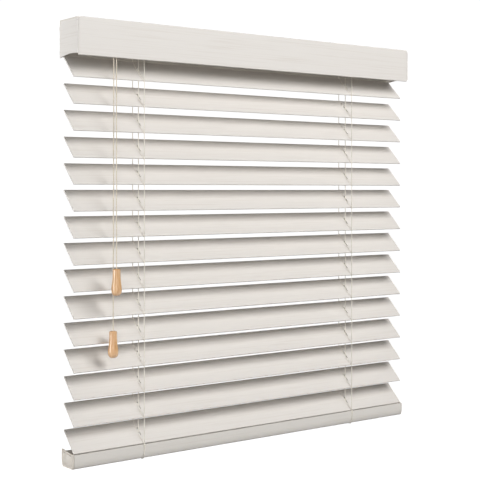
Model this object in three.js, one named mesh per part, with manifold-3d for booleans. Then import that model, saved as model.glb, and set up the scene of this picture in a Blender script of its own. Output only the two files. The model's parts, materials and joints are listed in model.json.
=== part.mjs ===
// Wooden venetian blind: two inch slats on ladder strings, a cord tilter with two turned
// tassels, and a spring lift hidden in the headrail.
// Millimetres. +X to the right, +Y towards the window at the back, +Z up.
// The origin is the middle of the ceiling plane on which the two box brackets fit.

import * as THREE from 'three';
import { mergeVertices } from 'three/addons/utils/BufferGeometryUtils.js';
import Module from 'manifold-3d';

const wasm = await Module();
wasm.setup();

// ---------------------------------------------------------------- driving dimensions

const gap = 0.3; // between pieces that touch
const past = 1; // how far a cutting tool reaches beyond the face it cuts
const through = 20; // half length of a tool that passes right through a small piece

const slatCount = 15;
const slatLength = 762;
const slatWidth = 50;
const slatThickness = 3;
const slatPitch = 44.8;
const slatTilt = THREE.MathUtils.degToRad(45); // front edge down
const firstSlatZ = -80.5;
const routeSlot = { length: 16, width: 2.4 }; // the lift cord's slot in each slat

const ladderX = 244; // both ladders, either side of the middle
const ladderY = 19.2; // front and back strings
const stringRadius = 0.75;
const stringEnds = { belowRod: 0.5, aboveRail: 0.8 };

const rail = { halfLength: 380, halfDepth: 28.5, top: -2, bottom: -46, wall: 1, lip: 3 };
const ladderOpening = { halfLength: 5, halfDepth: 27 }; // in the headrail's floor
const skirt = { bottom: -61.8, slotFrom: 351.5 }; // the back wall's strip that stops the light
const rodZ = -23.5; // axis of the tilt rod
const rodFlats = 6.35; // across the flats of its hexagon
const rodHalfLength = 370;

const drum = { core: 17.2, flange: 17.9, halfWidth: 6, groove: 4, hub: 5, hubEnd: 10.5 };
const cradle = { halfLength: 14, halfDepth: 27.2, bottom: -44.7, top: -43.6 };
const cheek = { inner: 8, outer: 9.5, root: 0.5, foot: 14, crown: 9, top: -19 };
const hubPlay = 0.4; // round a drum's hub in its cradle
const cordWay = { halfDepth: 2.5, top: -40.2 }; // where the lift cord crosses the cheeks
const stringSlot = { halfWidth: 1.6, y: 17.8, halfDepth: 8 };
const cradleCordHole = { length: 9, width: 5 };

const tilter = { x: -308.5, wormZ: -35.5, bottom: -44.6, top: -10 };
const worm = { lead: 4.084, root: 3.2, tip: 5, halfLength: 7.2, shoulder: 1.2, shaft: 2, end: 13.6 };
const thread = { halfRoot: 0.85, halfTip: 0.3, buried: 0.4 }; // half widths across the worm's thread
const wheel = { teeth: 12, root: 6.6, tip: 8.6, halfFace: 2.25, hub: 5.2, halfHub: 4 };
const wheelTooth = { halfRoot: 1, halfTip: 0.55 };
const pulley = { radius: 4.7, flange: 6, flangeWidth: 0.6, front: -31.9, back: -28.9 };
const housing = { halfLength: 14.5, back: 14, wall: 2, insideFront: -19, insideBottom: -43 };
const nose = { halfWidth: 9.1, front: -33.2, back: -27.1, bottom: -46, top: -26, base: 1.4 };
const noseHollow = { halfWidth: 7.2, front: -32.2, back: -28.6, bottom: -44.5, top: -28 };
const nosePlay = 0.4; // round the nose in the headrail's front wall
const rodWay = 4.2; // half width of the way for the rod through the housing

const cordRadius = 0.9; // tilt cords
const cordExit = { z: -46.3, radius: 1.3 };
const shortCord = {
  top: new THREE.Vector3(-306.6, -30.4, cordExit.z),
  end: new THREE.Vector3(-317.9, -49.5, -418.4),
};
const longCord = {
  top: new THREE.Vector3(-311.7, -30.4, cordExit.z),
  end: new THREE.Vector3(-315.6, -34.6, -523.9),
};
const tassel = { height: 45, top: 6.5, waist: 6.4, belly: 9, foot: 4.6, bore: 1.7, boreDepth: 6 };

const valance = { back: -33.5, face: -36.3, bottom: -64, edgeRadius: 1.5 };
const valanceHalfLength = 381.7;
const returnPlate = { inner: 382, outer: 384, top: -3.3, frontBottom: -61.2 };
const returnArch = { y: -6, z: -57.2 }; // the highest pull on the arched foot
const returnBack = { top: 20.7, bulge: 27, bottom: 25.5, bottomZ: -64.5 };
const swellHeights = { top: -5, upper: -9, middle: -14.5, lower: -19, foot: -24 };

const bracket = { inner: 352, outer: 381.6, sheet: 1.2, front: -28.9, back: 30.1, bottom: -47.6, tail: 8 };
const screw = { radius: 2.5, ceilingY: 14, wallZ: [-12, -35] };

const motor = { halfLength: 40, front: 5.5, back: 27, bottom: -44.4, top: -8, wall: 1.5, floor: 1.2 };
const motorCordHoles = { left: [10.1, -42.05, 1.6], right: [16.5, -20.4, 1.8] }; // y, z, radius
const spool = { z: -28.9, core: 12, flange: 13.2, axle: 2.5, leftCordY: 12, rightCordY: 19.6 };
const spoolEnds = { front: 8, middle: 15.2, back: 24, flangeWidth: 1 };
const cordRunIn = { x: 226, y: 1 }; // where a lift cord straightens towards its cradle
const halfBreak = 0.15; // half the space between two lengths of the left lift cord

const base = { halfLength: 381.1, bottom: -751, foot: 14.5, corner: 17.5, toe: 18.7, bulge: 20.5 };
const baseHeights = { toe: 3, haunch: 7, bulge: 13, shoulder: 20, lip: 24.8, slatAxis: 43.3 };
const dishLip = { inner: 19.4, outer: 20.1 };
const dishRadius = 26.8; // round the lowest slat's axis, so that it can turn
const railEnd = { thickness: 2, backHeight: 29.5 }; // caps just past the slats' ends, higher behind
const plug = { radius: 7, height: 3, recess: 7.3, cordHole: 2.5 };

// ---------------------------------------------------------------- shape helpers

const X = new THREE.Vector3(1, 0, 0);
const Y = new THREE.Vector3(0, 1, 0);
const Z = new THREE.Vector3(0, 0, 1);

function toSolid(geometry) {
  const bare = geometry.clone();
  bare.deleteAttribute('normal');
  bare.deleteAttribute('uv');
  const merged = mergeVertices(bare, 1e-5);
  return new wasm.Manifold(new wasm.Mesh({
    numProp: 3,
    vertProperties: new Float32Array(merged.attributes.position.array),
    triVerts: new Uint32Array(merged.index.array),
  }));
}

function toGeometry(solid) {
  const cut = solid.getMesh();
  const geometry = new THREE.BufferGeometry();
  geometry.setAttribute('position', new THREE.BufferAttribute(cut.vertProperties, 3));
  geometry.setIndex(new THREE.BufferAttribute(cut.triVerts, 1));
  geometry.computeVertexNormals();
  return geometry;
}

const joined = (...solids) => solids.reduce((all, next) => all.add(next));
const cutBy = (solid, ...tools) => tools.reduce((rest, tool) => rest.subtract(tool), solid);

function box(x0, x1, y0, y1, z0, z1) {
  const geometry = new THREE.BoxGeometry(x1 - x0, y1 - y0, z1 - z0);
  geometry.translate((x0 + x1) / 2, (y0 + y1) / 2, (z0 + z1) / 2);
  return toSolid(geometry);
}

// a flat outline pushed along one axis; its first coordinate is the first of the other two
function extrude(outline, from, to, basis, start) {
  const geometry = new THREE.ExtrudeGeometry(outline, {
    depth: to - from,
    bevelEnabled: false,
    curveSegments: 8,
  });
  geometry.applyMatrix4(new THREE.Matrix4().makeBasis(...basis).setPosition(start));
  return toSolid(geometry);
}

const alongX = (outline, from, to) =>
  extrude(outline, from, to, [Y, Z, X], new THREE.Vector3(from, 0, 0));
const alongY = (outline, from, to) =>
  extrude(outline, from, to, [X, Z, Y.clone().negate()], new THREE.Vector3(0, to, 0));
const alongZ = (outline, from, to) =>
  extrude(outline, from, to, [X, Y, Z], new THREE.Vector3(0, 0, from));

const polygon = (points) => new THREE.Shape(points.map(([a, b]) => new THREE.Vector2(a, b)));

function arcPoints(centreA, centreB, radius, from, to, steps) {
  return Array.from({ length: steps + 1 }, (_, i) => {
    const angle = from + ((to - from) * i) / steps;
    return [centreA + radius * Math.cos(angle), centreB + radius * Math.sin(angle)];
  });
}

const circle = (a, b, radius, sides = 20) =>
  polygon(arcPoints(a, b, radius, 0, 2 * Math.PI, sides).slice(1));

const hexagon = (acrossFlats) => circle(0, 0, acrossFlats / Math.sqrt(3), 6);

// a slot with round ends, long in the first coordinate
function slot(a, b, length, width) {
  const radius = width / 2;
  const reach = length / 2 - radius;
  return polygon([
    ...arcPoints(a + reach, b, radius, -Math.PI / 2, Math.PI / 2, 6),
    ...arcPoints(a - reach, b, radius, Math.PI / 2, (3 * Math.PI) / 2, 6),
  ]);
}

// an upright cord piece
const uprightString = (x, y, radius, top, bottom) =>
  toGeometry(alongZ(circle(x, y, radius, 8), bottom, top));

// a cord with one ring of its surface at each point of its route, which lies close to the XZ plane
function cordAlong(points, radius) {
  const sides = 8;
  const route = points.map((point) => new THREE.Vector3(...point));
  const last = route.length - 1;
  const vertices = [];
  const faces = [];
  route.forEach((point, i) => {
    const along = route[Math.min(i + 1, last)].clone().sub(route[Math.max(i - 1, 0)]).normalize();
    const across = Y.clone().cross(along).normalize();
    const other = along.clone().cross(across);
    for (let side = 0; side < sides; side += 1) {
      const angle = (side * 2 * Math.PI) / sides;
      const onRing = point.clone();
      onRing.addScaledVector(across, radius * Math.cos(angle));
      onRing.addScaledVector(other, radius * Math.sin(angle));
      vertices.push(...onRing.toArray());
      const next = (side + 1) % sides;
      if (i < last) {
        const [a, b] = [i * sides + side, i * sides + next];
        faces.push(a, b, a + sides, b, b + sides, a + sides);
      }
    }
  });
  const end = last * sides;
  for (let side = 2; side < sides; side += 1) {
    faces.push(0, side, side - 1);
    faces.push(end, end + side - 1, end + side);
  }
  const geometry = new THREE.BufferGeometry();
  geometry.setAttribute('position', new THREE.Float32BufferAttribute(vertices, 3));
  geometry.setIndex(faces);
  geometry.computeVertexNormals();
  return geometry;
}

// ---------------------------------------------------------------- slats

// Flat slat with round long edges and a slot for the lift cord near each end.
function slatGeometry() {
  const radius = slatThickness / 2;
  const reach = slatWidth / 2 - radius;
  const section = polygon([
    ...arcPoints(reach, 0, radius, -Math.PI / 2, Math.PI / 2, 6),
    ...arcPoints(-reach, 0, radius, Math.PI / 2, (3 * Math.PI) / 2, 6),
  ]);
  const routes = [-ladderX, ladderX].map((x) => {
    const tool = alongZ(slot(0, 0, routeSlot.length, routeSlot.width), -slatThickness, slatThickness);
    return tool.rotate([0, 0, 90]).translate([x, 0, 0]);
  });
  return toGeometry(cutBy(alongX(section, -slatLength / 2, slatLength / 2), ...routes));
}

// ---------------------------------------------------------------- valance

function valanceBoard() {
  const { back, face, bottom, edgeRadius } = valance;
  const outline = new THREE.Shape();
  outline.moveTo(back, bottom);
  outline.lineTo(back, 0);
  outline.lineTo(face + edgeRadius, 0);
  outline.quadraticCurveTo(face, 0, face, -edgeRadius);
  outline.lineTo(face, bottom + edgeRadius);
  outline.quadraticCurveTo(face, bottom, face + edgeRadius, bottom);
  return toGeometry(alongX(outline, -valanceHalfLength, valanceHalfLength));
}

// End board: straight in front, a soft swell at the back, an arched foot.
function valanceReturn(side) {
  const { top, upper, middle, lower, foot } = swellHeights;
  const outline = new THREE.Shape();
  outline.moveTo(returnBack.top, 0);
  outline.lineTo(valance.face, 0);
  outline.lineTo(valance.face, returnPlate.frontBottom);
  outline.quadraticCurveTo(returnArch.y, returnArch.z, returnBack.bottom, returnBack.bottomZ);
  outline.lineTo(returnBack.bottom, foot);
  outline.bezierCurveTo(returnBack.bottom, lower, returnBack.bulge, lower, returnBack.bulge, middle);
  outline.bezierCurveTo(returnBack.bulge, upper, returnBack.top, upper, returnBack.top, top);
  const [from, to] = side > 0
    ? [returnPlate.inner, returnPlate.outer]
    : [-returnPlate.outer, -returnPlate.inner];
  const aboveTop = box(
    from - past, to + past,
    valance.face - past, returnBack.bulge + past,
    returnPlate.top, past,
  );
  return toGeometry(cutBy(alongX(outline, from, to), aboveTop));
}

// ---------------------------------------------------------------- headrail and brackets

function headrailChannel() {
  const { halfDepth, top, bottom, wall, lip } = rail;
  const inside = halfDepth - wall;
  const section = polygon([
    [-halfDepth, top],
    [-halfDepth, bottom],
    [inside, bottom],
    [inside, skirt.bottom],
    [halfDepth, skirt.bottom],
    [halfDepth, top],
    [halfDepth - lip - wall, top],
    [halfDepth - lip - wall, top - wall],
    [inside, top - wall],
    [inside, bottom + wall],
    [-inside, bottom + wall],
    [-inside, top - wall],
    [-halfDepth + lip + wall, top - wall],
    [-halfDepth + lip + wall, top],
  ]);
  const channel = alongX(section, -rail.halfLength, rail.halfLength);
  const ladderOpenings = [-ladderX, ladderX].map((x) => box(
    x - ladderOpening.halfLength, x + ladderOpening.halfLength,
    -ladderOpening.halfDepth, ladderOpening.halfDepth,
    bottom - past, bottom + wall + past,
  ));
  const noseWindow = box(
    tilter.x - nose.halfWidth - nosePlay, tilter.x + nose.halfWidth + nosePlay,
    -halfDepth - past, nose.back + gap,
    bottom - past, nose.top + nosePlay,
  );
  const slotBottom = bracket.bottom - 2 * gap;
  const bracketFloorSlots = [
    [-rail.halfLength - past, -skirt.slotFrom],
    [skirt.slotFrom, rail.halfLength + past],
  ].map(([from, to]) => box(from, to, inside - past, halfDepth + past, slotBottom, bottom));
  return toGeometry(cutBy(channel, ...ladderOpenings, noseWindow, ...bracketFloorSlots));
}

// Box bracket of bent sheet: top, long back, floor, and an end whose tail closes the back corner.
function boxBracket(side) {
  const { inner, outer, sheet, front, back, bottom, tail } = bracket;
  const middle = (inner + outer) / 2;
  const walls = joined(
    box(inner, outer, front, back, -sheet, 0),
    box(inner, outer, front, back, bottom, bottom + sheet),
    box(inner, outer, back - sheet, back, skirt.bottom, 0),
    box(outer - sheet, outer, front, back, bottom, 0),
    box(outer - sheet, outer, back - tail, back, skirt.bottom, 0),
  );
  const ceilingHoles = [-screw.ceilingY, screw.ceilingY].map((y) =>
    alongZ(circle(middle, y, screw.radius), -sheet - past, past));
  const wallHoles = screw.wallZ.map((z) =>
    alongY(circle(middle, z, screw.radius), back - sheet - past, back + past));
  const whole = cutBy(walls, ...ceilingHoles, ...wallHoles);
  return toGeometry(side > 0 ? whole : whole.rotate([0, 0, 180]).mirror([0, 1, 0]));
}

// ---------------------------------------------------------------- tilt works

const tiltRod = () => toGeometry(alongX(hexagon(rodFlats), -rodHalfLength, rodHalfLength));

// Ladder drum, around its own axis: a grooved core, two flanges and hubs that turn in the cradle.
function ladderDrum() {
  const body = joined(
    alongX(circle(0, 0, drum.core, 32), -drum.halfWidth, drum.halfWidth),
    alongX(circle(0, 0, drum.flange, 32), -drum.halfWidth, -drum.groove),
    alongX(circle(0, 0, drum.flange, 32), drum.groove, drum.halfWidth),
    alongX(circle(0, 0, drum.hub), -drum.hubEnd, drum.hubEnd),
  );
  return toGeometry(cutBy(body, alongX(hexagon(rodFlats + 2 * gap), -through, through)));
}

// Cradle under a drum: a floor with holes for the strings and the lift cord, and two cheeks.
function drumCradle() {
  const floor = box(
    -cradle.halfLength, cradle.halfLength,
    -cradle.halfDepth, cradle.halfDepth,
    cradle.bottom, cradle.top,
  );
  const cheekOutline = polygon([
    [-cheek.foot, cradle.top - cheek.root],
    [cheek.foot, cradle.top - cheek.root],
    [cheek.crown, cheek.top],
    [-cheek.crown, cheek.top],
  ]);
  const cheeks = [[-cheek.outer, -cheek.inner], [cheek.inner, cheek.outer]].map(([from, to]) =>
    alongX(cheekOutline, from, to));
  const hubWay = drum.hub + hubPlay;
  const ends = [cradle.bottom - past, cradle.top + past];
  const tools = [
    alongX(circle(0, rodZ, hubWay), -through, through),
    box(-through, through, -hubWay, hubWay, rodZ, 0),
    box(
      -cradle.halfLength - past, cradle.halfLength + past,
      -cordWay.halfDepth, cordWay.halfDepth,
      cradle.top, cordWay.top,
    ),
    ...[-stringSlot.y, stringSlot.y].map((y) => box(
      -stringSlot.halfWidth, stringSlot.halfWidth,
      y - stringSlot.halfDepth, y + stringSlot.halfDepth,
      ...ends,
    )),
    alongZ(slot(0, 0, cradleCordHole.length, cradleCordHole.width), ...ends),
  ];
  return toGeometry(cutBy(joined(floor, ...cheeks), ...tools));
}

// Worm wheel around the rod, one tooth pointing straight down at the worm.
function wormWheel() {
  const points = [];
  for (let tooth = 0; tooth < wheel.teeth; tooth += 1) {
    const angle = -Math.PI / 2 + (tooth * 2 * Math.PI) / wheel.teeth;
    const corner = (radius, offset) => [
      radius * Math.cos(angle) - offset * Math.sin(angle),
      radius * Math.sin(angle) + offset * Math.cos(angle),
    ];
    points.push(corner(wheel.root, -wheelTooth.halfRoot), corner(wheel.tip, -wheelTooth.halfTip));
    points.push(corner(wheel.tip, wheelTooth.halfTip), corner(wheel.root, wheelTooth.halfRoot));
  }
  const body = joined(
    alongX(polygon(points), -wheel.halfFace, wheel.halfFace),
    alongX(circle(0, 0, wheel.hub), -wheel.halfHub, wheel.halfHub),
  );
  return toGeometry(cutBy(body, alongX(hexagon(rodFlats + 2 * gap), -through, through)));
}

// One thread of the worm: a trapezium that follows a helix round the Y axis.
function wormThread() {
  const stepsPerTurn = 20;
  const turns = (2 * worm.halfLength) / worm.lead;
  const steps = Math.round(turns * stepsPerTurn);
  const section = [
    [worm.root - thread.buried, -thread.halfRoot],
    [worm.tip, -thread.halfTip],
    [worm.tip, thread.halfTip],
    [worm.root - thread.buried, thread.halfRoot],
  ];
  const vertices = [];
  for (let step = 0; step <= steps; step += 1) {
    const y = -worm.halfLength + (2 * worm.halfLength * step) / steps;
    const angle = ((y - worm.lead / 2) / worm.lead) * 2 * Math.PI;
    for (const [radius, offset] of section) {
      vertices.push(radius * Math.sin(angle), y + offset, radius * Math.cos(angle));
    }
  }
  const faces = [0, 1, 2, 0, 2, 3];
  for (let step = 0; step < steps; step += 1) {
    for (let side = 0; side < 4; side += 1) {
      const a = step * 4 + side;
      const b = step * 4 + ((side + 1) % 4);
      faces.push(a, a + 4, b, b, a + 4, b + 4);
    }
  }
  const last = steps * 4;
  faces.push(last, last + 2, last + 1, last, last + 3, last + 2);
  const geometry = new THREE.BufferGeometry();
  geometry.setAttribute('position', new THREE.Float32BufferAttribute(vertices, 3));
  geometry.setIndex(faces);
  return toSolid(geometry);
}

// Worm, its shaft and the cord pulley in front, moulded as one, around the worm's axis.
function pulleyWorm() {
  return toGeometry(joined(
    alongY(circle(0, 0, worm.shaft), pulley.front, worm.end),
    alongY(circle(0, 0, worm.root), -worm.halfLength - worm.shoulder, worm.halfLength + worm.shoulder),
    wormThread(),
    alongY(circle(0, 0, pulley.radius, 24), pulley.front, pulley.back),
    alongY(circle(0, 0, pulley.flange, 24), pulley.front, pulley.front + pulley.flangeWidth),
    alongY(circle(0, 0, pulley.flange, 24), pulley.back - pulley.flangeWidth, pulley.back),
  ));
}

// Tilter housing: an open-topped box on the headrail's floor, and a nose through its front wall
// that the two cords leave downwards.
function tilterHousing() {
  const { halfLength, wall } = housing;
  const shell = joined(
    box(-halfLength, halfLength, nose.back, housing.back, tilter.bottom, tilter.top),
    box(-nose.halfWidth, nose.halfWidth, nose.front, nose.back + 1, nose.bottom + nose.base, nose.top),
    box(-nose.halfWidth, nose.halfWidth, nose.front, nose.back, nose.bottom, nose.bottom + nose.base),
  );
  const cordHoles = [shortCord, longCord].map(({ top }) => alongZ(
    circle(top.x - tilter.x, top.y, cordExit.radius, 12),
    nose.bottom - past,
    noseHollow.bottom + past,
  ));
  return toGeometry(cutBy(
    shell,
    box(
      -halfLength + wall, halfLength - wall,
      housing.insideFront, housing.back - wall,
      housing.insideBottom, 0,
    ),
    box(
      -noseHollow.halfWidth, noseHollow.halfWidth,
      noseHollow.front, noseHollow.back,
      noseHollow.bottom, noseHollow.top,
    ),
    alongY(circle(0, tilter.wormZ, worm.shaft + gap), noseHollow.back - past, housing.back + past),
    alongX(circle(0, rodZ, rodWay), -through, through),
    box(-through, through, -rodWay, rodWay, rodZ, 0),
    ...cordHoles,
  ));
}

// ---------------------------------------------------------------- tilt cords and tassels

// A straight cord from its exit to just above its tassel.
function placeCord(mesh, cord) {
  const direction = cord.end.clone().sub(cord.top).normalize();
  mesh.quaternion.setFromUnitVectors(Z, direction);
  mesh.position.copy(cord.top);
}

const cordLength = (cord) => cord.end.distanceTo(cord.top) - gap;

// Turned tassel hanging from its top: a short neck, a full belly low down and a small foot.
function turnedTassel() {
  const { height, top, waist, belly, foot, bore, boreDepth } = tassel;
  const side = new THREE.SplineCurve([
    new THREE.Vector2(foot, -height),
    new THREE.Vector2(7.4, -42.7),
    new THREE.Vector2(8.7, -39),
    new THREE.Vector2(belly, -34.5),
    new THREE.Vector2(8.2, -26),
    new THREE.Vector2(7.1, -16),
    new THREE.Vector2(waist, -6),
    new THREE.Vector2(top, -1.2),
    new THREE.Vector2(top - 1, 0),
  ]);
  const profile = [
    new THREE.Vector2(0, -height),
    ...side.getPoints(18),
    new THREE.Vector2(bore, 0),
    new THREE.Vector2(bore, -boreDepth),
    new THREE.Vector2(0, -boreDepth),
  ];
  const geometry = new THREE.LatheGeometry(profile, 24);
  geometry.rotateX(Math.PI / 2);
  return toGeometry(toSolid(geometry));
}

// ---------------------------------------------------------------- lift works

// Spring motor's case: a long box open at the top, with a hole in each end for a lift cord.
function motorCase() {
  const { halfLength, front, back, bottom, top, wall, floor } = motor;
  const { left, right } = motorCordHoles;
  return toGeometry(cutBy(
    box(-halfLength, halfLength, front, back, bottom, top),
    box(-halfLength + wall, halfLength - wall, front + wall, back - wall, bottom + floor, top + past),
    alongX(circle(...left, 12), -halfLength - past, -halfLength + wall + past),
    alongX(circle(...right, 12), halfLength - wall - past, halfLength + past),
    alongY(circle(0, spool.z, spool.axle + gap), front - past, back + past),
  ));
}

// Spool with a groove for each lift cord, around its axle.
function liftSpool() {
  const { front, middle, back, flangeWidth } = spoolEnds;
  const flange = (from) => alongY(circle(0, 0, spool.flange, 28), from, from + flangeWidth);
  return toGeometry(joined(
    alongY(circle(0, 0, spool.core, 28), front, back),
    flange(front),
    flange(middle),
    flange(back - flangeWidth),
    alongY(circle(0, 0, spool.axle, 16), motor.front + gap, motor.back - gap),
  ));
}

const slatZ = (number) => firstSlatZ - (number - 1) * slatPitch;

// where a lift cord turns down through its cradle
const liftCordZ = -42.5;
const bendRadius = 3;
const liftCordEnd = base.bottom + 4;
function cordBend(side) {
  const centreX = side * (ladderX - bendRadius);
  const turn = arcPoints(centreX, liftCordZ - bendRadius, bendRadius, Math.PI / 2, side > 0 ? 0 : Math.PI, 5);
  return turn.map(([x, z]) => [x, 0, z]);
}

const leftCordRun = [
  [0, spool.leftCordY, spool.z - spool.core - gap - stringRadius],
  [-cordRunIn.x, cordRunIn.y, liftCordZ],
  ...cordBend(-1),
  [-ladderX, 0, slatZ(1) - slatPitch / 2 + halfBreak],
];

const rightCordRun = [
  [0, spool.rightCordY, spool.z + spool.core + gap + stringRadius],
  [cordRunIn.x, cordRunIn.y, liftCordZ],
  ...cordBend(1),
  [ladderX, 0, liftCordEnd],
];

// The left lift cord is in short lengths, one to each slat, because it gathers as the slats rise.
function liftCordPiece(number) {
  if (number === 1) {
    return cordAlong(leftCordRun, stringRadius);
  }
  const top = slatZ(number) + slatPitch / 2 - halfBreak;
  const bottom = number === slatCount ? liftCordEnd : slatZ(number) - slatPitch / 2 + halfBreak;
  return uprightString(-ladderX, 0, stringRadius, top, bottom);
}

// ---------------------------------------------------------------- bottom rail

// the flat foot and the swelling sides, from the front up to the back
function railSides() {
  const { bottom, foot, corner, toe, bulge } = base;
  const { toe: toeHeight, haunch, bulge: bulgeHeight } = baseHeights;
  const outline = new THREE.Shape();
  outline.moveTo(-bulge, bottom + bulgeHeight);
  outline.quadraticCurveTo(-bulge, bottom + haunch, -toe, bottom + toeHeight);
  outline.quadraticCurveTo(-corner, bottom, -foot, bottom);
  outline.lineTo(foot, bottom);
  outline.quadraticCurveTo(corner, bottom, toe, bottom + toeHeight);
  outline.quadraticCurveTo(bulge, bottom + haunch, bulge, bottom + bulgeHeight);
  return outline;
}

function railOutline() {
  const { bottom, bulge } = base;
  const dishHalf = Math.asin(dishLip.inner / dishRadius);
  const axisZ = bottom + baseHeights.slatAxis;
  const shoulder = bottom + baseHeights.shoulder;
  const top = bottom + baseHeights.lip;
  const outline = railSides();
  outline.quadraticCurveTo(bulge, shoulder, dishLip.outer, top);
  outline.absarc(0, axisZ, dishRadius, -Math.PI / 2 + dishHalf, -Math.PI / 2 - dishHalf, true);
  outline.lineTo(-dishLip.outer, top);
  outline.quadraticCurveTo(-bulge, shoulder, -bulge, bottom + baseHeights.bulge);
  return outline;
}

function railCapOutline() {
  const { bottom, bulge } = base;
  const outline = railSides();
  outline.lineTo(bulge, bottom + railEnd.backHeight);
  outline.lineTo(-dishLip.outer, bottom + baseHeights.lip);
  outline.quadraticCurveTo(-bulge, bottom + baseHeights.shoulder, -bulge, bottom + baseHeights.bulge);
  return outline;
}

function bottomRail() {
  const tools = [-ladderX, ladderX].flatMap((x) => [
    alongZ(circle(x, 0, plug.cordHole), base.bottom - past, base.bottom + baseHeights.lip + past),
    alongZ(circle(x, 0, plug.recess, 28), base.bottom - past, base.bottom + plug.height + gap),
  ]);
  return toGeometry(cutBy(alongX(railOutline(), -base.halfLength, base.halfLength), ...tools));
}

function railCap(side) {
  const near = base.halfLength + gap;
  const far = near + railEnd.thickness;
  const [from, to] = side > 0 ? [near, far] : [-far, -near];
  return toGeometry(alongX(railCapOutline(), from, to));
}

const cordPlug = () => toGeometry(alongZ(circle(0, 0, plug.radius, 28), 0, plug.height));

// ---------------------------------------------------------------- materials

const finish = (color, roughness, metalness = 0) =>
  new THREE.MeshStandardMaterial({ color, roughness, metalness });

const paintedWood = finish(0xe9e3d5, 0.5);
const paintedSteel = finish(0xe6e2d8, 0.4, 0.2);
const barSteel = finish(0xb4b6b8, 0.35, 1);
const whitePlastic = finish(0xf0eee8, 0.45);
const creamPlastic = finish(0xe4dccb, 0.5);
const cordFabric = finish(0xefe9dc, 0.85);
const honeyWood = finish(0xc98f4e, 0.4);

// ---------------------------------------------------------------- assembly

const blind = new THREE.Group();

function put(parent, name, geometry, material, x = 0, y = 0, z = 0) {
  const mesh = new THREE.Mesh(geometry, material);
  mesh.name = name;
  mesh.position.set(x, y, z);
  parent.add(mesh);
  return mesh;
}

const sides = [['left', -1], ['right', 1]];
const number2 = (number) => String(number).padStart(2, '0');

const headrail = new THREE.Group();
blind.add(headrail);
put(headrail, 'headrail_channel', headrailChannel(), paintedSteel);
put(headrail, 'valance_board', valanceBoard(), paintedWood);
for (const [word, side] of sides) {
  put(headrail, `valance_return_${word}`, valanceReturn(side), paintedWood);
  put(headrail, `box_bracket_${word}`, boxBracket(side), paintedSteel);
  put(headrail, `drum_cradle_${word}`, drumCradle(), whitePlastic, side * ladderX);
}
put(headrail, 'tilter_housing', tilterHousing(), whitePlastic, tilter.x);
put(headrail, 'lift_motor_case', motorCase(), whitePlastic);
put(headrail, 'lift_spool', liftSpool(), whitePlastic, 0, 0, spool.z);

const tiltWorks = new THREE.Group();
tiltWorks.position.z = rodZ;
blind.add(tiltWorks);
put(tiltWorks, 'tilt_rod', tiltRod(), barSteel);
put(tiltWorks, 'tilter_worm_wheel', wormWheel(), whitePlastic, tilter.x);
for (const [word, side] of sides) {
  put(tiltWorks, `ladder_drum_${word}`, ladderDrum(), whitePlastic, side * ladderX);
}
put(blind, 'tilter_pulley_worm', pulleyWorm(), whitePlastic, tilter.x, 0, tilter.wormZ);

for (const [word, cord] of [['short', shortCord], ['long', longCord]]) {
  const tube = alongZ(circle(0, 0, cordRadius, 8), 0, cordLength(cord));
  placeCord(put(blind, `tilt_cord_${word}`, toGeometry(tube), cordFabric), cord);
  put(blind, `tassel_${word}`, turnedTassel(), honeyWood, ...cord.end.toArray());
}

const ladderTop = rodZ - stringEnds.belowRod;
const ladderBottom = base.bottom + baseHeights.lip + stringEnds.aboveRail;
for (const [word, side] of sides) {
  for (const [place, sign] of [['front', -1], ['back', 1]]) {
    const string = uprightString(0, 0, stringRadius, ladderTop, ladderBottom);
    put(blind, `ladder_${word}_${place}`, string, cordFabric, side * ladderX, sign * ladderY);
  }
}

const slats = new THREE.Group();
blind.add(slats);
const slatShape = slatGeometry();
for (let number = 1; number <= slatCount; number += 1) {
  const slat = put(slats, `slat_${number2(number)}`, slatShape, paintedWood, 0, 0, slatZ(number));
  slat.rotation.x = slatTilt;
  put(blind, `lift_cord_left_${number2(number)}`, liftCordPiece(number), cordFabric);
}
put(blind, 'lift_cord_right', cordAlong(rightCordRun, stringRadius), cordFabric);

const bottom = new THREE.Group();
blind.add(bottom);
put(bottom, 'bottom_rail', bottomRail(), paintedWood);
for (const [word, side] of sides) {
  put(bottom, `rail_cap_${word}`, railCap(side), creamPlastic);
  put(bottom, `cord_plug_${word}`, cordPlug(), creamPlastic, side * ladderX, 0, base.bottom);
}

export default blind;
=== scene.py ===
"""A wooden venetian blind: cords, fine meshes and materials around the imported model. Metres."""

import json
import math
import random

import bpy
import numpy as np
from mathutils import Matrix, Vector


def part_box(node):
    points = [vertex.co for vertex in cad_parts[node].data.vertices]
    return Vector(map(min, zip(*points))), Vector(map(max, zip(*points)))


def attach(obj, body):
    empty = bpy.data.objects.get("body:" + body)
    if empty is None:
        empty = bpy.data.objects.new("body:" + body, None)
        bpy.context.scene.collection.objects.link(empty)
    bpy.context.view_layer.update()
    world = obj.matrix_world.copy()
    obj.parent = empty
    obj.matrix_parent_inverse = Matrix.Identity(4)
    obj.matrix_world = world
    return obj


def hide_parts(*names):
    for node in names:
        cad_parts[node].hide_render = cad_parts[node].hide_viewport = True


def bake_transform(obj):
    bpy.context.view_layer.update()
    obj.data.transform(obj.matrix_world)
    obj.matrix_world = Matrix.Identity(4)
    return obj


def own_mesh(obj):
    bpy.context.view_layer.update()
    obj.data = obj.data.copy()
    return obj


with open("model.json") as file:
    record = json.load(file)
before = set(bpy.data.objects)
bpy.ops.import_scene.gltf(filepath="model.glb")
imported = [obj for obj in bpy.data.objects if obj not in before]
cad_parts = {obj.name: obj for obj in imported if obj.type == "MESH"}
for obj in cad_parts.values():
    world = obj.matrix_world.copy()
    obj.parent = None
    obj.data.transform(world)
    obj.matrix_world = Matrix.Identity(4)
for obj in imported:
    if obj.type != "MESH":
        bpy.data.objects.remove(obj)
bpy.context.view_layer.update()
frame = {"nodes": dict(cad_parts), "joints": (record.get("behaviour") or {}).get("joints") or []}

MM = 0.001
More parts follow.
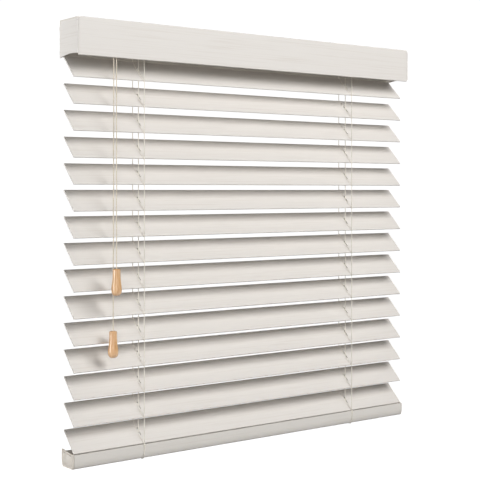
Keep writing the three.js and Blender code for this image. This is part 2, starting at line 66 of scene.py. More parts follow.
JOINTS = {joint["name"]: joint for joint in frame["joints"]}
SLAT_COUNT = sum(name.startswith("slat_") for name in frame["nodes"])
SLAT_TILT = math.radians(45)
SLAT_HALF_WIDTH = 25 * MM
SLAT_HALF_THICKNESS = 1.5 * MM
STRING_RADIUS = 0.75 * MM
TILT_CORD_RADIUS = 0.9 * MM
UNDER_HEADRAIL_Z = -60 * MM


def middle(node):
    low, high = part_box(node)
    return (low + high) / 2


def slat_height(number):
    return JOINTS[f"slat_{number:02d}_tilt"]["pos_m"][2]


ROD_Z = middle("tilt_rod").z
LADDER_X = middle("ladder_right_front").x
LADDER_Y = middle("ladder_left_back").y
RAIL_LOW, RAIL_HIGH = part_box("bottom_rail")


# ------------------------------------------------------------------ camera

def make_camera():
    """Level camera to the left of the blind, with its picture shifted down."""
    azimuth = math.radians(-37.3)
    distance = 2.1182
    aside = -0.0169
    height = -0.287
    forward = Vector((-math.sin(azimuth), math.cos(azimuth), 0))
    right = Vector((math.cos(azimuth), math.sin(azimuth), 0))
    data = bpy.data.cameras.new("camera")
    data.sensor_width = 36
    data.lens = 84.75
    data.shift_y = -0.1038
    camera = bpy.data.objects.new("camera", data)
    camera.location = -distance * forward + aside * right + Vector((0, 0, height))
    camera.rotation_euler = (math.pi / 2, 0, azimuth)
    bpy.context.scene.collection.objects.link(camera)
    bpy.context.scene.camera = camera


make_camera()


# ------------------------------------------------------------------ material tools

def rgb(red, green, blue):
    """A colour given as it looks on a screen, 0 to 255."""
    def linear(value):
        value /= 255
        return value / 12.92 if value <= 0.04045 else ((value + 0.055) / 1.055) ** 2.4
    return (linear(red), linear(green), linear(blue), 1.0)


class Nodes:
    """A material's node tree, with short calls for the nodes used here."""

    def __init__(self, name, roughness, metallic=0.0):
        self.material = bpy.data.materials.new(name)
        self.material.use_nodes = True
        self.tree = self.material.node_tree
        self.shader = self.tree.nodes["Principled BSDF"]
        self.shader.inputs["Metallic"].default_value = metallic
        self.shader.inputs["Roughness"].default_value = roughness

    def link(self, source, node, socket):
        self.tree.links.new(source, node.inputs[socket])

    def feed(self, node, *inputs):
        """Each input is (another node's output or a plain value, socket number)."""
        for value, socket in inputs:
            if isinstance(value, bpy.types.NodeSocket):
                self.link(value, node, socket)
            else:
                node.inputs[socket].default_value = value

    def coordinates(self, scale):
        place = self.tree.nodes.new("ShaderNodeTexCoord")
        mapping = self.tree.nodes.new("ShaderNodeMapping")
        mapping.inputs["Scale"].default_value = scale
        self.link(place.outputs["Object"], mapping, "Vector")
        return mapping.outputs["Vector"]

    def noise(self, scale, detail=3.0, distortion=0.0):
        """Noise whose grain is 1/scale metres along each axis."""
        node = self.tree.nodes.new("ShaderNodeTexNoise")
        node.inputs["Scale"].default_value = 1.0
        node.inputs["Detail"].default_value = detail
        node.inputs["Distortion"].default_value = distortion
        self.link(self.coordinates(scale), node, "Vector")
        return node.outputs["Fac"]

    def ramp(self, value, *stops):
        node = self.tree.nodes.new("ShaderNodeValToRGB")
        elements = node.color_ramp.elements
        elements[0].position, elements[0].color = stops[0]
        elements[1].position, elements[1].color = stops[-1]
        for position, color in stops[1:-1]:
            element = elements.new(position)
            element.color = color
        self.link(value, node, "Fac")
        return node.outputs["Color"]

    def mix(self, factor, first, second):
        node = self.tree.nodes.new("ShaderNodeMix")
        node.data_type = "RGBA"
        self.feed(node, (factor, 0), (first, 6), (second, 7))
        return node.outputs[2]

    def math(self, operation, first, second=0.0):
        node = self.tree.nodes.new("ShaderNodeMath")
        node.operation = operation
        self.feed(node, (first, 0), (second, 1))
        return node.outputs[0]

    def range(self, value, low, high):
        node = self.tree.nodes.new("ShaderNodeMapRange")
        node.inputs["To Min"].default_value = low
        node.inputs["To Max"].default_value = high
        self.link(value, node, "Value")
        return node.outputs["Result"]

    def color(self, value):
        self.link(value, self.shader, "Base Color")

    def roughness(self, value):
        self.link(value, self.shader, "Roughness")

    def bump(self, *layers):
        """Each layer is (height from 0 to 1, distance in metres)."""
        normal = None
        for height, distance in layers:
            node = self.tree.nodes.new("ShaderNodeBump")
            node.inputs["Strength"].default_value = 1.0
            node.inputs["Distance"].default_value = distance
            self.link(height, node, "Height")
            if normal:
                self.link(normal, node, "Normal")
            normal = node.outputs["Normal"]
        self.link(normal, self.shader, "Normal")


# ------------------------------------------------------------------ materials

def painted_wood(name, light, shade, grain=(7, 420, 420)):
    """Satin paint through which the long grain of the wood just shows."""
    nodes = Nodes(name, 0.5)
    streaks = nodes.noise(grain, detail=4, distortion=0.4)
    pores = nodes.noise(tuple(4 * scale for scale in grain), detail=2)
    clouds = nodes.noise((6, 18, 18), detail=2)
    tone = nodes.ramp(streaks, (0.3, shade), (0.5, light))
    worn = nodes.mix(nodes.range(clouds, 0.1, 0.75), tone, light)
    nodes.color(nodes.mix(nodes.range(pores, 0.0, 0.14), worn, shade))
    nodes.roughness(nodes.range(streaks, 0.56, 0.44))
    nodes.bump((streaks, 0.05 * MM), (pores, 0.02 * MM))
    nodes.shader.inputs["Coat Weight"].default_value = 0.08
    nodes.shader.inputs["Coat Roughness"].default_value = 0.35
    return nodes.material


def enamelled_steel(name, color):
    """Satin stove enamel with a faint orange peel."""
    nodes = Nodes(name, 0.36)
    peel = nodes.noise((700, 700, 700), detail=2)
    haze = nodes.noise((30, 30, 30), detail=3)
    dull = tuple(0.94 * channel for channel in color[:3]) + (1,)
    nodes.color(nodes.mix(nodes.range(haze, 0.0, 0.5), color, dull))
    nodes.roughness(nodes.range(haze, 0.28, 0.42))
    nodes.bump((peel, 0.02 * MM))
    return nodes.material


def drawn_steel(name):
    """Zinc plated bar with fine drawing lines along X."""
    nodes = Nodes(name, 0.34, metallic=1.0)
    lines = nodes.noise((12, 2600, 2600), detail=3)
    spangle = nodes.noise((160, 160, 160), detail=2)
    nodes.color(nodes.ramp(spangle, (0.3, rgb(168, 170, 172)), (0.7, rgb(205, 207, 208))))
    nodes.roughness(nodes.range(lines, 0.24, 0.46))
    nodes.bump((lines, 0.03 * MM))
    return nodes.material


def moulded_plastic(name, color, roughness=0.42):
    """Moulded plastic with a fine spark-eroded texture."""
    nodes = Nodes(name, roughness)
    texture = nodes.noise((1800, 1800, 1800), detail=1)
    flow = nodes.noise((45, 45, 45), detail=3)
    shade = tuple(0.93 * channel for channel in color[:3]) + (1,)
    nodes.color(nodes.mix(nodes.range(flow, 0.0, 0.45), color, shade))
    nodes.roughness(nodes.range(flow, roughness - 0.06, roughness + 0.08))
    nodes.bump((texture, 0.02 * MM))
    nodes.shader.inputs["Subsurface Weight"].default_value = 0.06
    nodes.shader.inputs["Subsurface Radius"].default_value = (0.003, 0.002, 0.0015)
    return nodes.material


def braided_cord(name, light, shade):
    """Braid of two crossing sets of strands, with painted shade in the grooves between them, mapped
    in diameters along and turns round.
    """
    nodes = Nodes(name, 0.82)
    place = nodes.tree.nodes.new("ShaderNodeUVMap")
    split = nodes.tree.nodes.new("ShaderNodeSeparateXYZ")
    nodes.link(place.outputs["UV"], split, "Vector")
    along, around = split.outputs["X"], split.outputs["Y"]
    strands = []
    for turn in (1, -1):
        slanted = nodes.math("ADD", nodes.math("MULTIPLY", along, 4.0),
                             nodes.math("MULTIPLY", around, 4.0 * turn))
        wave = nodes.math("SINE", nodes.math("MULTIPLY", slanted, 2 * math.pi))
        strands.append(nodes.math("ABSOLUTE", wave))
    braid = nodes.math("MAXIMUM", *strands)
    fuzz = nodes.noise((1500, 1500, 1500), detail=2)
    # painted shade: the colour runs from the shade colour in the grooves between strands to the
    # light colour on their crowns
    tone = nodes.ramp(braid, (0.25, shade), (0.95, light))
    nodes.color(nodes.mix(nodes.range(fuzz, 0.0, 0.35), tone, shade))
    nodes.bump((braid, 0.14 * MM), (fuzz, 0.05 * MM))
    nodes.shader.inputs["Sheen Weight"].default_value = 0.25
    nodes.shader.inputs["Sheen Roughness"].default_value = 0.5
    return nodes.material


def varnished_wood(name):
    """Turned honey-coloured wood under clear gloss varnish, its grain upright."""
    nodes = Nodes(name, 0.32)
    rings = nodes.noise((420, 420, 26), detail=4, distortion=1.2)
    flecks = nodes.noise((2200, 2200, 140), detail=2)
    clouds = nodes.noise((60, 60, 30), detail=2)
    tone = nodes.ramp(
        rings,
        (0.3, rgb(210, 162, 112)),
        (0.5, rgb(229, 186, 137)),
        (0.68, rgb(239, 203, 158)),
    )
    tone = nodes.mix(nodes.range(clouds, 0.0, 0.3), tone, rgb(221, 170, 122))
    nodes.color(nodes.mix(nodes.range(flecks, 0.0, 0.18), tone, rgb(178, 122, 74)))
    nodes.bump((flecks, 0.02 * MM))
    nodes.shader.inputs["Coat Weight"].default_value = 0.9
    nodes.shader.inputs["Coat Roughness"].default_value = 0.09
    return nodes.material


PAINT_LIGHT = rgb(229, 225, 220)
PAINT_SHADE = rgb(220, 214, 207)
slat_paint = painted_wood("slat paint", PAINT_LIGHT, PAINT_SHADE)
valance_paint = painted_wood("valance paint", PAINT_LIGHT, PAINT_SHADE)
return_paint = painted_wood("return paint", PAINT_LIGHT, PAINT_SHADE, (420, 11, 420))
rail_paint = painted_wood("rail paint", rgb(228, 224, 218), PAINT_SHADE)
enamel = enamelled_steel("enamelled steel", rgb(222, 217, 209))
bar_steel = drawn_steel("drawn steel")
white_plastic = moulded_plastic("white plastic", rgb(233, 231, 225))
cream_plastic = moulded_plastic("cream plastic", rgb(222, 215, 205), 0.38)
cord_braid = braided_cord("tilt cord braid", rgb(236, 227, 212), rgb(200, 188, 168))
string_braid = braided_cord("ladder string braid", rgb(253, 249, 240), rgb(233, 226, 214))
honey_wood = varnished_wood("honey wood")


# ------------------------------------------------------------------ mesh tools

def add_mesh(name, vertices, faces, material, angle=35.0):
    mesh = bpy.data.meshes.new(name)
    mesh.from_pydata([tuple(v) for v in vertices], [], faces)
    mesh.validate()
    mesh.materials.append(material)
    mesh.polygons.foreach_set("use_smooth", [True] * len(mesh.polygons))
    mesh.set_sharp_from_angle(angle=math.radians(angle))
    piece = bpy.data.objects.new(name, mesh)
    bpy.context.scene.collection.objects.link(piece)
    return piece


def evaluated(piece):
    """The piece with its modifiers applied."""
    graph = bpy.context.evaluated_depsgraph_get()
    mesh = bpy.data.meshes.new_from_object(piece.evaluated_get(graph))
    piece.modifiers.clear()
    piece.data = mesh
    return piece


def soften(piece, width, angle=35.0):
    """Rounds the sharp edges."""
    bevel = piece.modifiers.new("rounded edges", "BEVEL")
    bevel.width = width
    bevel.segments = 2
    bevel.limit_method = "ANGLE"
    bevel.angle_limit = math.radians(angle)
    bevel.harden_normals = True
    return piece


def through(points, step):
    """A smooth curve through the points, with a point about every step."""
    route = [Vector(point) for point in points]
    route = [2 * route[0] - route[1]] + route + [2 * route[-1] - route[-2]]
    found = []
    for a, b, c, d in zip(route, route[1:], route[2:], route[3:]):
        count = max(1, round((c - b).length / step))
        for i in range(count):
            t = i / count
            found.append(0.5 * (2 * b + (c - a) * t + (2 * a - 5 * b + 4 * c - d) * t ** 2
                                + (3 * b - a - 3 * c + d) * t ** 3))
    return found + [route[-2]]


def tube(name, points, radius, material, sides=10, closed=False):
    """A round tube along the points, mapped in diameters along and turns round."""
    count = len(points)
    tangents = []
    for i in range(count):
        before = points[i - 1] if closed or i else points[0]
        after = points[(i + 1) % count] if closed or i + 1 < count else points[-1]
        tangents.append((after - before).normalized())
    across = tangents[0].orthogonal().normalized()
    vertices, run, travelled = [], [], 0.0
    for i, (point, tangent) in enumerate(zip(points, tangents)):
        if i:
            across = tangents[i - 1].rotation_difference(tangent) @ across
            travelled += (point - points[i - 1]).length
        across = (across - tangent * across.dot(tangent)).normalized()
        other = tangent.cross(across)
        run.append(travelled)
        for side in range(sides):
            angle = 2 * math.pi * side / sides
            vertices.append(point + radius * (math.cos(angle) * across + math.sin(angle) * other))
    faces, maps = [], []
    total = run[-1] + (points[0] - points[-1]).length
    for i in range(count if closed else count - 1):
        after = (i + 1) % count
        here = run[i] / (2 * radius)
        there = (run[after] if after else total) / (2 * radius)
        for side in range(sides):
            next_side = (side + 1) % sides
            faces.append((i * sides + side, i * sides + next_side,
                          after * sides + next_side, after * sides + side))
            low, high = side / sides, (side + 1) / sides
            maps += [(here, low), (here, high), (there, high), (there, low)]
    if not closed:
        first = tuple(reversed(range(sides)))
        last = tuple((count - 1) * sides + side for side in range(sides))
        faces += [first, last]
        maps += [(0, 0)] * (2 * sides)
    piece = add_mesh(name, vertices, faces, material, angle=60)
    layer = piece.data.uv_layers.new(name="map")
    for loop, place in enumerate(maps):
        layer.data[loop].uv = place
    return piece


def ring_faces(rows, sides):
    """The faces of a tube of rings with equal numbers of points, closed at both ends."""
    faces = []
    for row in range(rows - 1):
        for side in range(sides):
            after = (side + 1) % sides
            faces.append((row * sides + side, row * sides + after,
                          (row + 1) * sides + after, (row + 1) * sides + side))
    faces.append(tuple(reversed(range(sides))))
    faces.append(tuple((rows - 1) * sides + side for side in range(sides)))
    return faces


def lathe(name, profile, centre, material, sides=48):
    """A solid turned round Z: the profile's points are (radius, height)."""
    vertices = []
    for radius, height in profile:
        for side in range(sides):
            turn = 2 * math.pi * side / sides
            vertices.append((radius * math.cos(turn), radius * math.sin(turn), height))
    place = Matrix.Translation(centre)
    placed = [place @ Vector(v) for v in vertices]
    return add_mesh(name, placed, ring_faces(len(profile), sides), material, angle=30)


def prism(name, outline, from_x, to_x, material):
    """A solid with a (y, z) outline, from one x to the other."""
    vertices = [(x, y, z) for x in (from_x, to_x) for y, z in outline]
    return add_mesh(name, vertices, ring_faces(2, len(outline)), material)


def carve(piece, cutters):
    """Cuts the cutters out of the piece, then removes them."""
    for cutter in cutters:
        cut = piece.modifiers.new("cut", "BOOLEAN")
        cut.operation = "DIFFERENCE"
        cut.solver = "EXACT"
        cut.object = cutter
    evaluated(piece)
    for cutter in cutters:
        bpy.data.objects.remove(cutter)


def dress(node, material, width=0.0):
    """A CAD part that stays: its material, smooth curved faces and slightly rounded edges."""
    part = frame["nodes"][node]
    part.data.materials.clear()
    part.data.materials.append(material)
    part.data.polygons.foreach_set("use_smooth", [True] * len(part.data.polygons))
    part.data.set_sharp_from_angle(angle=math.radians(32))
    if width:
        soften(part, width)
    return part


def finished(piece, body, slot, *nodes):
    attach(piece, body)
    if nodes:
        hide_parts(*nodes)
    return piece


# ------------------------------------------------------------------ tilt cords and tassels

# The two cords, from their exits under the tilter to the tassels' tops, as in the model.
CORDS = {
    "short": [(-306.6, -30.4, -46.3), (-317.9, -49.5, -418.4)],
    "long": [(-311.7, -30.4, -46.3), (-315.6, -34.6, -523.9)],
}


def cord_route(word):
    """Straight from exit to tassel, with the slight waver of a braid that was folded once."""
    top, end = (Vector(point) * MM for point in CORDS[word])
    end = end + (top - end).normalized() * 0.3 * MM
    steps = 38
    waver_size = 0.35 * MM
    waver_turns = 9.5 * math.pi
    phase = 1.3 if word == "short" else 0.4
    route = []
    for step in range(steps + 1):
        share = step / steps
        fade = math.sin(math.pi * share)
        waver = waver_size * fade * math.sin(phase + waver_turns * share)
        route.append(top.lerp(end, share) + Vector((waver, 0.5 * waver, 0)))
    return route


def tassel_profile():
    """Neck, belly low down and a round foot, from the foot up, then down into the cord's bore."""
    side = [(0.0, -45), (3.2, -44.9), (5.2, -44.2), (7.1, -42.3), (8.35, -39.4), (8.85, -35.6),
            (8.8, -32.6), (8.35, -28.6), (7.75, -24.4), (7.2, -20), (6.8, -15.5), (6.6, -11),
            (6.55, -6.5), (6.6, -2.2), (6.45, -1.0), (5.9, -0.35), (5.2, -0.05)]
    points = through([(0, radius, height) for radius, height in side], 0.7)
    outer = [(max(point.y, 0.02) * MM, point.z * MM) for point in points]
    bore = [(1.9, -0.1), (1.7, -0.4), (1.7, -6), (0.02, -6)]
    return outer + [(radius * MM, height * MM) for radius, height in bore]


def make_tilt_cord(word):
    route = cord_route(word)
    cord = tube(f"tilt_cord_{word}_braid", route, TILT_CORD_RADIUS, cord_braid, sides=12)
    top = Vector(CORDS[word][1]) * MM
    tassel = lathe(f"tassel_{word}_turned", tassel_profile(), top, honey_wood)
    finished(tassel, f"{word}_cord_unit", "honey_wood", f"tassel_{word}")
    knot = lathe(
        f"tassel_{word}_cord_end",
        [(0.3 * MM, -5.8 * MM), (1.5 * MM, -5.0 * MM), (1.6 * MM, -3.4 * MM), (1.0 * MM, -1.6 * MM),
         (0.9 * MM, -0.35 * MM)],
        top, cord_braid, sides=16,
    )
    finished(knot, f"{word}_cord_unit", "tilt_cord")
    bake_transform(cord)
    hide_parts(f"tilt_cord_{word}")


for cord_word in CORDS:
    make_tilt_cord(cord_word)


# ------------------------------------------------------------------ slats

SLAT_LOW, SLAT_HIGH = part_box("slat_01")
ROUTE_LENGTH = 16 * MM
ROUTE_WIDTH = 2.4 * MM


def stadium(length, width, steps=8):
    """Points round a slot with round ends, long in the second coordinate."""
    radius, reach = width / 2, (length - width) / 2
    ends = [(1, 0.0), (-1, math.pi)]
    return [
        (radius * math.cos(start + math.pi * i / steps),
         sign * reach + radius * math.sin(start + math.pi * i / steps))
        for sign, start in ends for i in range(steps + 1)
    ]


def route_cutter(x):
    """Cuts a route slot and eases its two rims."""
    outside = 3 * MM
    rim = 1.35 * MM
    flare_outside = 2.4  # millimetres wider, so that the rims are eased
    levels = [(-outside, flare_outside), (-rim, 0.0), (rim, 0.0), (outside, flare_outside)]
    vertices = []
    for height, flare in levels:
        ring = stadium(ROUTE_LENGTH + flare * MM, ROUTE_WIDTH + flare * MM)
        vertices += [(x + a, b, height) for a, b in ring]
    return add_mesh("route cutter", vertices, ring_faces(len(levels), len(ring)), slat_paint)


def flat_slat():
    """One slat lying flat: round long edges, slightly rounded ends, two route slots."""
    steps = 10
    reach = SLAT_HALF_WIDTH - SLAT_HALF_THICKNESS
    section = []
    for sign, start in ((1, -math.pi / 2), (-1, math.pi / 2)):
        for i in range(steps + 1):
            angle = start + math.pi * i / steps
            section.append((sign * reach + SLAT_HALF_THICKNESS * math.cos(angle),
                            SLAT_HALF_THICKNESS * math.sin(angle)))
    half_length = SLAT_HIGH.x
    stations = np.linspace(-half_length, half_length, 25)
    vertices = [(x, y, z) for x in stations for y, z in section]
    faces = ring_faces(len(stations), len(section))
    slat = add_mesh("flat slat", vertices, faces, slat_paint)
    carve(slat, [route_cutter(x) for x in (-LADDER_X, LADDER_X)])
    soften(slat, 0.2 * MM, angle=50)
    evaluated(slat)
    return slat


def make_slats():
    """Each slat is the flat one, tilted, with a bow and twist of its own of a few tenths."""
    pattern = flat_slat()
    flat = np.array([v.co for v in pattern.data.vertices])
    chance = random.Random(15)
    for number in range(1, SLAT_COUNT + 1):
        mesh = pattern.data.copy()
        bow = chance.uniform(-0.3, 0.15) * MM
        twist = math.radians(chance.uniform(-0.25, 0.25))
        along = flat[:, 0] / SLAT_HIGH.x
        angle = SLAT_TILT + twist * along
        rise = flat[:, 2] + bow * (1 - along ** 2)
        moved = np.stack([
            flat[:, 0],
            flat[:, 1] * np.cos(angle) - rise * np.sin(angle),
            flat[:, 1] * np.sin(angle) + rise * np.cos(angle) + slat_height(number),
        ], axis=1)
        mesh.vertices.foreach_set("co", moved.ravel())
        mesh.update()
        slat = bpy.data.objects.new(f"slat_{number:02d}_wood", mesh)
        bpy.context.scene.collection.objects.link(slat)
        finished(slat, f"slat_{number:02d}_unit", "painted_slat", f"slat_{number:02d}")
    bpy.data.objects.remove(pattern)


make_slats()


# ------------------------------------------------------------------ ladders

RUNG_RADIUS = 0.35 * MM
RUNG_CLEARANCE = 0.05 * MM
RUNG_ASIDE = 3.1 * MM  # how far each of the two rungs stands from the ladder's middle
EDGE_CENTRE = SLAT_HALF_WIDTH - SLAT_HALF_THICKNESS


def slat_point(number, x, across, above):
    """A point fixed to a slat: across its width towards the back, and above its face."""
    tilted = Matrix.Rotation(SLAT_TILT, 4, "X") @ Vector((x, across, above))
    return tilted + Vector((0, 0, slat_height(number)))


def make_rungs(number, word, x):
    """Two rungs hold each slat: one passes under it and one over it, side by side."""
    lift = SLAT_HALF_THICKNESS + RUNG_RADIUS + RUNG_CLEARANCE
    for side, place in ((-1, "under"), (1, "over")):
        aside = -side * RUNG_ASIDE
        half = []
        for degrees in (0, 22, 45, 67):
            turn = math.radians(degrees)
            half.append((0.12 * degrees / 67 * aside, EDGE_CENTRE + lift * math.cos(turn),
                         side * lift * math.sin(turn)))
        half += [(0.3 * aside, EDGE_CENTRE, side * lift), (0.75 * aside, 17 * MM, side * lift),
                 (aside, 11 * MM, side * lift), (aside, 4 * MM, side * lift)]
        row = half + [(a, -b, c) for a, b, c in reversed(half)]
        points = through([slat_point(number, x + a, b, c) for a, b, c in row], 1.6 * MM)
        rung = tube(f"rung_{word}_{number:02d}_{place}", points, RUNG_RADIUS, string_braid, sides=8)
        finished(rung, f"slat_{number:02d}_unit", "ladder_cord")


def edge_height(number, sign):
    """Where a string touches a slat's front (-1) or back (1) edge."""
    return slat_height(number) + sign * EDGE_CENTRE * math.sin(SLAT_TILT)


def make_string(word, x, place, sign):
    """A ladder string in three lengths: from the drum, down past the slats, and to the rail."""
    flange_height = 0.7 * MM
    slack = 0.1 * MM
    headrail_floor_z = -46 * MM
    straight_from_z = -58 * MM
    drum_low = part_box("ladder_drum_left")[0].z
    drum_radius = (middle("ladder_drum_left").z - drum_low) - flange_height
    wound = drum_radius + STRING_RADIUS + slack
    y = sign * LADDER_Y
    node = f"ladder_{word}_{place}"
    unit = f"ladder_{place}_unit"
    first = edge_height(1, sign)
    last = edge_height(SLAT_COUNT, sign)

    wrap = [Vector((x, sign * wound * math.cos(turn), ROD_Z + wound * math.sin(turn)))
            for turn in np.radians(np.linspace(100, 0, 16))]
    way_down = [Vector((x, sign * wound, ROD_Z - 4 * MM)), Vector((x, y, headrail_floor_z)),
                Vector((x, y, straight_from_z)), Vector((x, y, first))]
    top = tube(f"{node}_from_drum", wrap[:-1] + through([wrap[-1]] + way_down, 2.5 * MM),
               STRING_RADIUS, string_braid)
    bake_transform(top)

    steps = 150
    route = [Vector((x, y, first + (last - first) * step / steps)) for step in range(steps + 1)]
    string = tube(f"{node}_string", route, STRING_RADIUS, string_braid)
    finished(string, unit, "ladder_cord", node)
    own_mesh(string)

    low = RAIL_LOW.z
    lean = -1.2 * MM
    face = [(0, y, last), (0, sign * 20.85 * MM, RAIL_HIGH.z - 0.8 * MM),
            (0.3 * lean, sign * 21.15 * MM, low + 20 * MM),
            (0.6 * lean, sign * 21.35 * MM, low + 14 * MM),
            (0.7 * lean, sign * 21.1 * MM, low + 9.8 * MM),
            (0.8 * lean, sign * 20.3 * MM, low + 6.5 * MM),
            (0.9 * lean, sign * 19.0 * MM, low + 3.1 * MM),
            (lean, sign * 16.6 * MM, low - 0.5 * MM),
            (lean, sign * 10 * MM, low - 0.75 * MM),
            (lean, sign * 6.2 * MM, low - 0.75 * MM)]
    points = through([Vector(p) + Vector((x, 0, 0)) for p in face], 1.2 * MM)
    end = tube(f"{node}_to_rail", points, STRING_RADIUS, string_braid)
    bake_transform(end)


def make_eyelet(word, x, place, sign):
    """The little loop in which the string is tied where it meets the rail."""
    centre = Vector((x, sign * 20.7 * MM, RAIL_HIGH.z - 2.4 * MM))
    half_width = 1.75 * MM
    half_depth = 0.5 * MM
    half_height = 2.6 * MM
    wire_radius = 0.55 * MM
    ring = []
    for turn in np.linspace(0, 2 * math.pi, 28, endpoint=False):
        ring.append(centre + Vector((half_width * math.cos(turn),
                                     -sign * half_depth * math.sin(turn),
                                     half_height * math.sin(turn))))
    loop = tube(f"rail_loop_{word}_{place}", ring, wire_radius, string_braid, sides=8, closed=True)
    finished(loop, "rail_unit", "ladder_cord")


for ladder_word, ladder_x in (("left", -LADDER_X), ("right", LADDER_X)):
    for slat_number in range(1, SLAT_COUNT + 1):
        make_rungs(slat_number, ladder_word, ladder_x)
    for string_place, string_sign in (("front", -1), ("back", 1)):
        make_string(ladder_word, ladder_x, string_place, string_sign)
        make_eyelet(ladder_word, ladder_x, string_place, string_sign)


# ------------------------------------------------------------------ lift cords

def make_lift_cord(word, side):
    """Through the headrail from the spool, then down through every slat into the rail."""
    x = side * LADDER_X
    bend_z = -42.5 * MM
    bend = 3 * MM
    run_in_x = 226 * MM
    run_in_y = 1 * MM
    spool = middle("lift_spool")
    off_spool = 13.05 * MM
    if side < 0:
        start = Vector((0, 12 * MM, spool.z - off_spool))
        nodes = [f"lift_cord_left_{number:02d}" for number in range(1, SLAT_COUNT + 1)]
    else:
        start = Vector((0, 19.6 * MM, spool.z + off_spool))
        nodes = ["lift_cord_right"]
    run = [start, Vector((side * run_in_x, run_in_y, bend_z))]
    turn = [Vector((x - side * bend * (1 - math.sin(a)), 0, bend_z - bend * (1 - math.cos(a))))
            for a in np.linspace(0, math.pi / 2, 6)]
    inside = through(run, 12 * MM)[:-1] + [run[-1]] + turn + [Vector((x, 0, UNDER_HEADRAIL_Z))]
    upper = tube(f"lift_cord_{word}_in_headrail", inside, STRING_RADIUS, string_braid)
    finished(upper, "headrail_unit", "ladder_cord", nodes[0])
    top, bottom = UNDER_HEADRAIL_Z, RAIL_LOW.z + 4 * MM
    steps = 160
    route = [Vector((x, 0, top + (bottom - top) * step / steps)) for step in range(steps + 1)]
    cord = tube(f"lift_cord_{word}_through_slats", route, STRING_RADIUS, string_braid)
    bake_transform(cord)
    if nodes[1:]:
        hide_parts(*nodes[1:])


make_lift_cord("left", -1)
make_lift_cord("right", 1)


# ------------------------------------------------------------------ headrail, valance and works

dress("headrail_channel", enamel, 0.25 * MM)
dress("valance_board", valance_paint, 0.5 * MM)
dress("bottom_rail", rail_paint, 0.3 * MM)
dress("tilt_rod", bar_steel, 0.3 * MM)
for side_word in ("left", "right"):
    dress(f"valance_return_{side_word}", return_paint, 0.35 * MM)
    dress(f"box_bracket_{side_word}", enamel, 0.3 * MM)
    dress(f"ladder_drum_{side_word}", white_plastic, 0.25 * MM)
    dress(f"drum_cradle_{side_word}", white_plastic, 0.25 * MM)
    dress(f"cord_plug_{side_word}", cream_plastic, 0.5 * MM)
for works in ("tilter_housing", "tilter_pulley_worm", "tilter_worm_wheel", "lift_motor_case",
              "lift_spool"):
    dress(works, white_plastic, 0.2 * MM)


# ------------------------------------------------------------------ rail caps

def cap_outline(node):
    """The cap's own convex (y, z) outline, in order round its middle."""
    part = frame["nodes"][node]
    corners = {(round(p.y, 6), round(p.z, 6))
               for p in (part.matrix_world @ v.co for v in part.data.vertices)}
    centre = middle(node)
    return sorted(corners, key=lambda c: math.atan2(c[1] - centre.z, c[0] - centre.y))


def make_rail_cap(word):
    """A moulded cap with a fine groove inside its edge and two clip slots under its top."""
    node = f"rail_cap_{word}"
    groove_share = 0.84  # the groove's outline, as a share of the cap's
    groove_radius = 0.4 * MM
    clip_slots_y = (-10 * MM, 11 * MM)
    clip_slot = stadium(4.5 * MM, 1.4 * MM, steps=5)
    slot_below_top = 3.6 * MM
    low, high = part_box(node)
    centre = middle(node)
    outline = cap_outline(node)
    outer_x = low.x if word == "left" else high.x
    cap = prism(f"{node}_moulded", outline, low.x, high.x, cream_plastic)
    soften(cap, 0.4 * MM)
    evaluated(cap)

    inset = [Vector((outer_x, centre.y + groove_share * (y - centre.y),
                     centre.z + groove_share * (z - centre.z)))
             for y, z in outline]
    cutters = [tube("groove cutter", inset, groove_radius, cream_plastic, sides=8, closed=True)]
    front_top = max((c for c in outline if c[0] < 0), key=lambda c: c[1])
    back_top = max(outline, key=lambda c: c[1])
    slope = math.atan2(back_top[1] - front_top[1], back_top[0] - front_top[0])
    for y in clip_slots_y:
        top = front_top[1] + (y - front_top[0]) * math.tan(slope)
        turned = [(y + b * math.cos(slope) - a * math.sin(slope),
                   top - slot_below_top + b * math.sin(slope) + a * math.cos(slope))
                  for a, b in reversed(clip_slot)]
        cutters.append(prism("slot cutter", turned, low.x - 1 * MM, high.x + 1 * MM, cream_plastic))
    carve(cap, cutters)
    finished(cap, "rail_unit", "cream_plastic", node)


for cap_word in ("left", "right"):
    make_rail_cap(cap_word)


# ------------------------------------------------------------------ floor and light

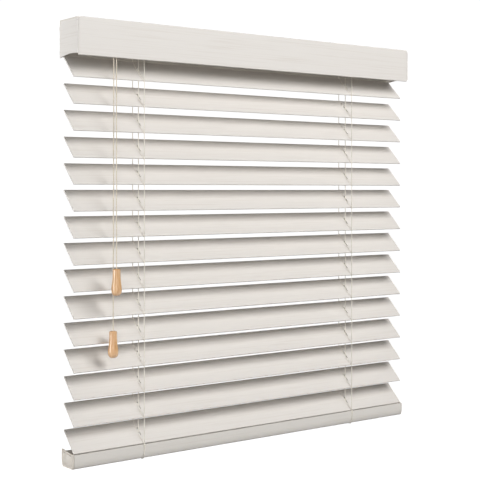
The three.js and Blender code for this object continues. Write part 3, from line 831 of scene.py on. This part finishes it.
def make_stage():
    """A plain pale floor under a white surround."""
    floor_z = -1.6
    floor_radius = 40
    thickness = 0.02
    centre_hole = 0.01
    surround_radius = 39.5
    section = [(centre_hole, -thickness), (floor_radius, -thickness),
               (floor_radius, 0), (centre_hole, 0)]
    floor = lathe("floor", section, (0, 0, floor_z), slat_paint, sides=64)
    surface = Nodes("pale floor", 0.8)
    surface.color(surface.ramp(surface.noise((3, 3, 3)), (0.0, rgb(240, 240, 240)),
                               (1.0, rgb(246, 246, 246))))
    surface.shader.inputs["Emission Color"].default_value = (1, 1, 1, 1)
    surface.shader.inputs["Emission Strength"].default_value = 1.0
    floor.data.materials[0] = surface.material
    floor.visible_diffuse = False

    arc = [(surround_radius * math.cos(a), surround_radius * math.sin(a))
           for a in np.linspace(-1.5, 1.5, 24)]
    ball = lathe("surround", arc, (0, 0, 0), slat_paint)
    glow = bpy.data.materials.new("white surround")
    glow.use_nodes = True
    tree = glow.node_tree
    tree.nodes.clear()
    light = tree.nodes.new("ShaderNodeEmission")
    light.inputs["Strength"].default_value = 1.05
    out = tree.nodes.new("ShaderNodeOutputMaterial")
    tree.links.new(light.outputs["Emission"], out.inputs["Surface"])
    ball.data.materials[0] = glow
    for kind in ("diffuse", "glossy", "transmission", "volume_scatter", "shadow"):
        setattr(ball, f"visible_{kind}", False)


def add_light(name, place, target, size, power):
    data = bpy.data.lights.new(name, "AREA")
    data.shape = "DISK"
    data.size = size
    data.energy = power
    light = bpy.data.objects.new(name, data)
    light.location = place
    light.rotation_euler = (Vector(target) - Vector(place)).to_track_quat("-Z", "Y").to_euler()
    bpy.context.scene.collection.objects.link(light)


def make_light():
    world = bpy.data.worlds.new("world")
    world.use_nodes = True
    background = world.node_tree.nodes["Background"]
    background.inputs["Color"].default_value = (1.0, 0.99, 0.97, 1)
    background.inputs["Strength"].default_value = 0.06
    bpy.context.scene.world = world
    centre = (0, 0, -0.38)
    add_light("key", (1.1, -2.7, 1.6), centre, 2.5, 106)
    add_light("front fill", (-1.9, -2.9, 0.2), centre, 2.6, 38)
    add_light("left fill", (-3.4, 0.4, -0.35), centre, 1.6, 58)
    add_light("back fill", (-1.0, 2.9, 0.3), centre, 1.8, 30)
    bpy.context.scene.view_settings.view_transform = "Standard"
    bpy.context.scene.view_settings.gamma = 0.9


make_stage()
make_light()
